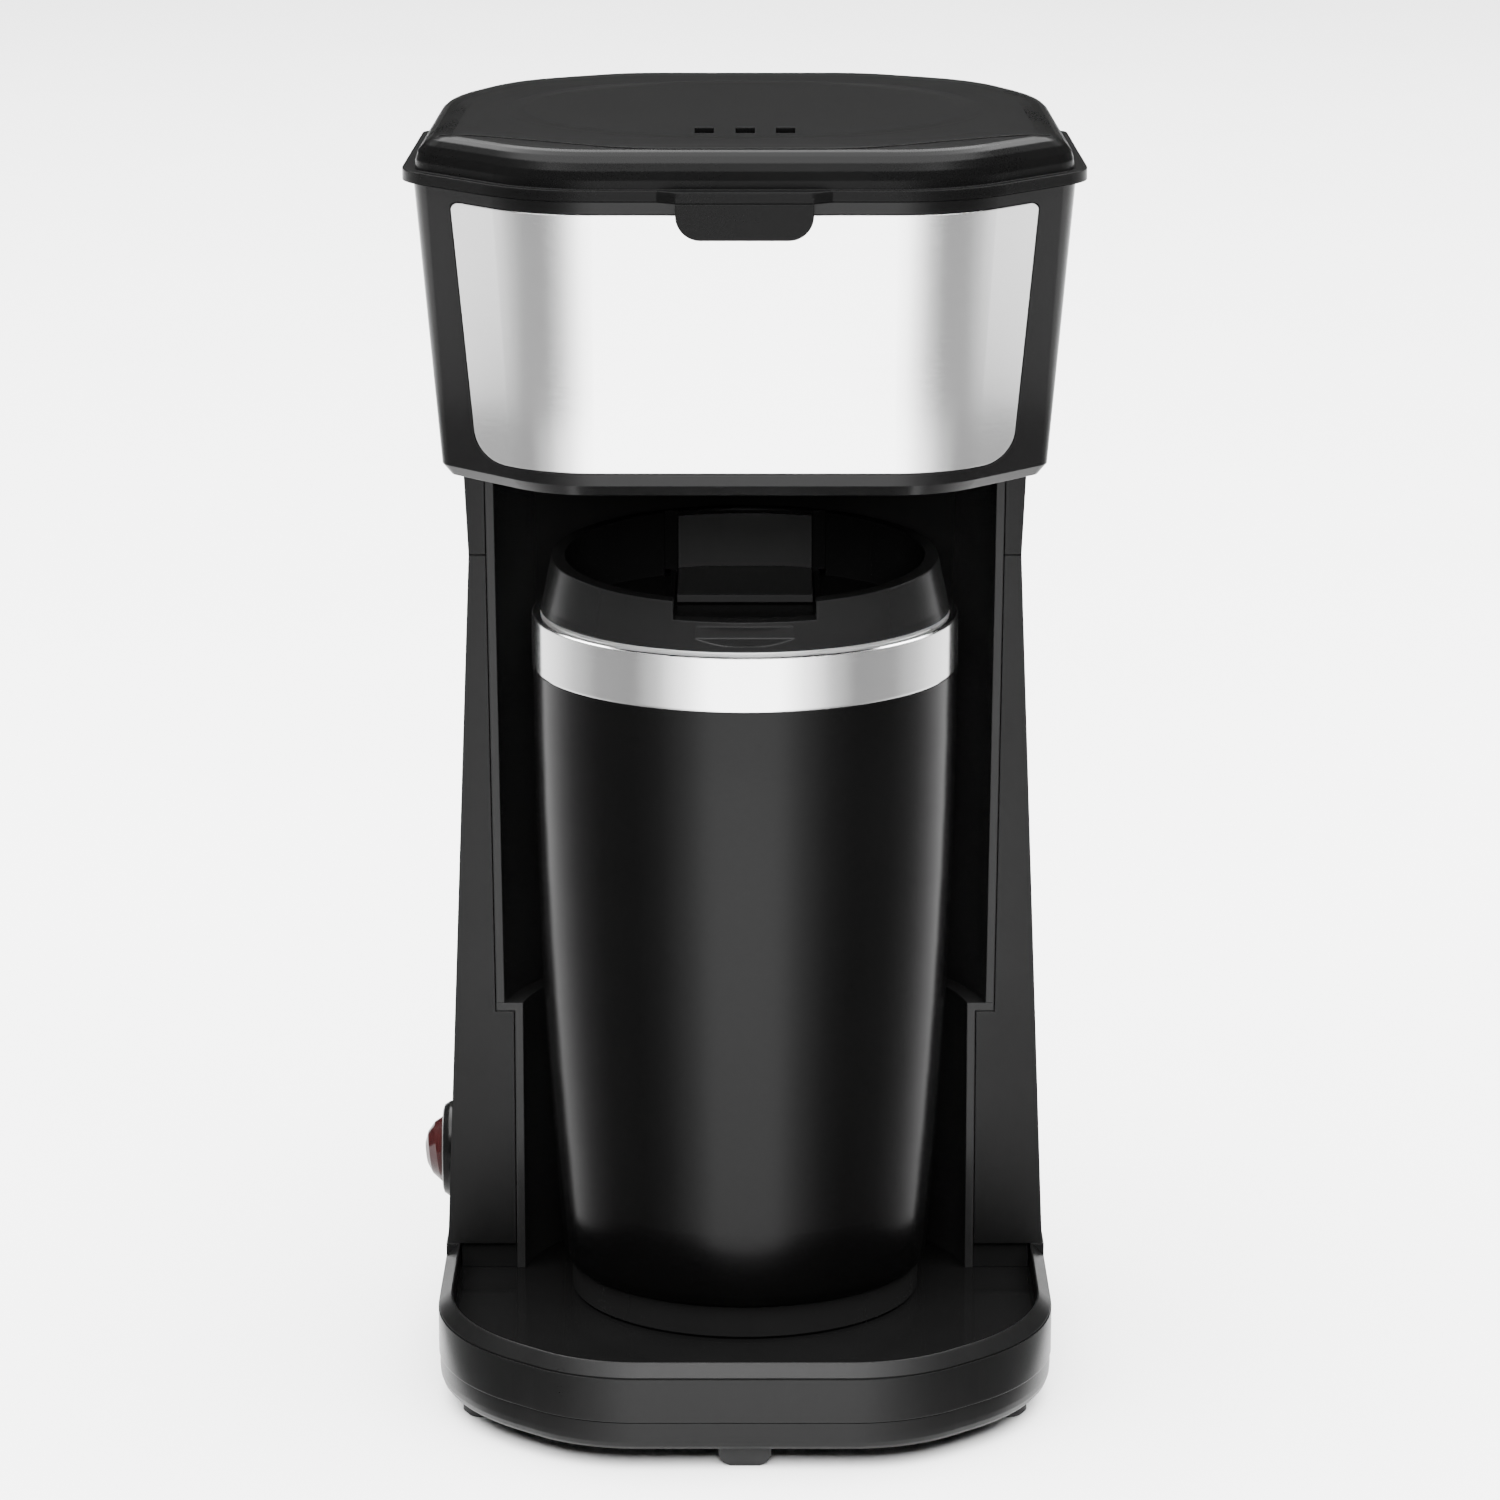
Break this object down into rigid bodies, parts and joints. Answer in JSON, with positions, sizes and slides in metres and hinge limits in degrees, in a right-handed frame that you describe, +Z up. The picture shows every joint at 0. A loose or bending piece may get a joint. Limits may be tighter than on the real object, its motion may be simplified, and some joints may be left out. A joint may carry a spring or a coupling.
{
  "type": "drip coffee maker",
  "caption": "Compact black single-serve drip coffee maker: hinged lid, steel-fronted brew head over an open bay, drip tray, side rocker switch and a travel mug with a steel band.",
  "frame": {"origin": "middle of the whole object's footprint on the surface that the feet stand on", "axes": "+Z up, the front faces -Y, the switch is on the -X side"},
  "size_m": [0.1377, 0.1554, 0.2715],
  "materials": {
    "shell_plastic": "fine satin grain",
    "plate_plastic": "fine matte grain",
    "liner_plastic": "smooth gloss",
    "head_plastic": "satin gloss",
    "deck_plastic": "smooth",
    "lid_plastic": "fine grain on top, gloss at the edge",
    "panel_steel": "fine brushed grain",
    "foot_rubber": "matte",
    "screw_steel": "zinc plated",
    "tank_plastic": "clear, slightly smoky",
    "funnel_plastic": "smooth",
    "basket_plastic": "smooth",
    "mesh_steel": "fine woven mesh",
    "hose_silicone": "translucent white silicone",
    "heater_aluminium": "as cast",
    "element_steel": "drawn tube",
    "bracket_steel": "zinc plated sheet",
    "thermostat_aluminium": "pressed cap",
    "fuse_ceramic": "plain",
    "spout_plastic": "smooth",
    "pin_steel": "ground",
    "bezel_plastic": "gloss",
    "switch_plastic": "smooth",
    "rocker_plastic": "clear red gloss",
    "terminal_brass": "tinned",
    "block_plastic": "natural white",
    "gland_rubber": "matte",
    "mug_paint": "satin black",
    "mug_foot_plastic": "satin",
    "mug_steel": "fine brushed",
    "mug_lid_plastic": "satin grain",
    "gasket_rubber": "soft silicone"
  },
  "bodies": {
    "machine": {"base_shell": "shell_plastic", "bottom_plate": "plate_plastic", "front_foot": "foot_rubber", "right_side_foot": "foot_rubber", "left_side_foot": "foot_rubber", "right_rear_foot": "foot_rubber", "left_rear_foot": "foot_rubber", "base_screws": "screw_steel", "column_screws": "screw_steel", "column_shell": "shell_plastic", "lower_bay_liner": "liner_plastic", "upper_bay_liner": "liner_plastic", "head_shell": "head_plastic", "steel_panel": "panel_steel", "top_deck": "deck_plastic", "brew_funnel": "funnel_plastic", "water_tank": "tank_plastic", "check_valve": "deck_plastic", "cold_hose": "hose_silicone", "riser_hose": "hose_silicone", "heater_block": "heater_aluminium", "heating_element": "element_steel", "heater_brackets": "bracket_steel", "thermostat": "thermostat_aluminium", "thermal_fuse": "fuse_ceramic", "outlet_spout": "spout_plastic", "lid_hinge_pin": "pin_steel", "switch_bezel": "bezel_plastic", "switch_housing": "switch_plastic", "switch_terminals": "terminal_brass", "terminal_block": "block_plastic", "cord_gland": "gland_rubber"},
    "lid": {"lid": "lid_plastic", "lid_shower_plate": "deck_plastic"},
    "basket": {"filter_basket": "basket_plastic", "filter_mesh": "mesh_steel"},
    "rocker": {"switch_rocker": "rocker_plastic"},
    "mug": {"mug_foot": "mug_foot_plastic", "mug_shell": "mug_paint", "mug_liner": "mug_steel", "mug_band": "mug_steel"},
    "mug_lid": {"mug_lid": "mug_lid_plastic", "mug_lid_gasket": "gasket_rubber"},
    "shutter": {"mug_lid_slider": "mug_lid_plastic"}
  },
  "joints": [
    {"name": "lid_hinge", "type": "hinge", "parent": "machine", "child": "lid", "pos_m": [0, 0.07515, 0.263], "axis": [-1, 0, 0], "range_deg": [0, 100]},
    {"name": "basket_lift", "type": "slide", "parent": "machine", "child": "basket", "axis": [0, 0, 1], "range_m": [0, 0.06]},
    {"name": "switch_rocker", "type": "hinge", "parent": "machine", "child": "rocker", "pos_m": [-0.0618, 0.019, 0.0385], "axis": [0, 1, 0], "range_deg": [0, 14]},
    {"name": "mug_slide", "type": "slide", "parent": "machine", "child": "mug", "axis": [0, -0.9787, 0.2055], "range_m": [0, 0.14]},
    {"name": "mug_lid_lift", "type": "slide", "parent": "mug", "child": "mug_lid", "axis": [0, 0, 1], "range_m": [0, 0.018]},
    {"name": "shutter_slide", "type": "slide", "parent": "mug_lid", "child": "shutter", "axis": [0, -1, 0], "range_m": [0, 0.038]}
  ],
  "couplings": [
    {"joint": "basket_lift", "follows": "lid_hinge", "m_per_rad": 0.0343}
  ]
}
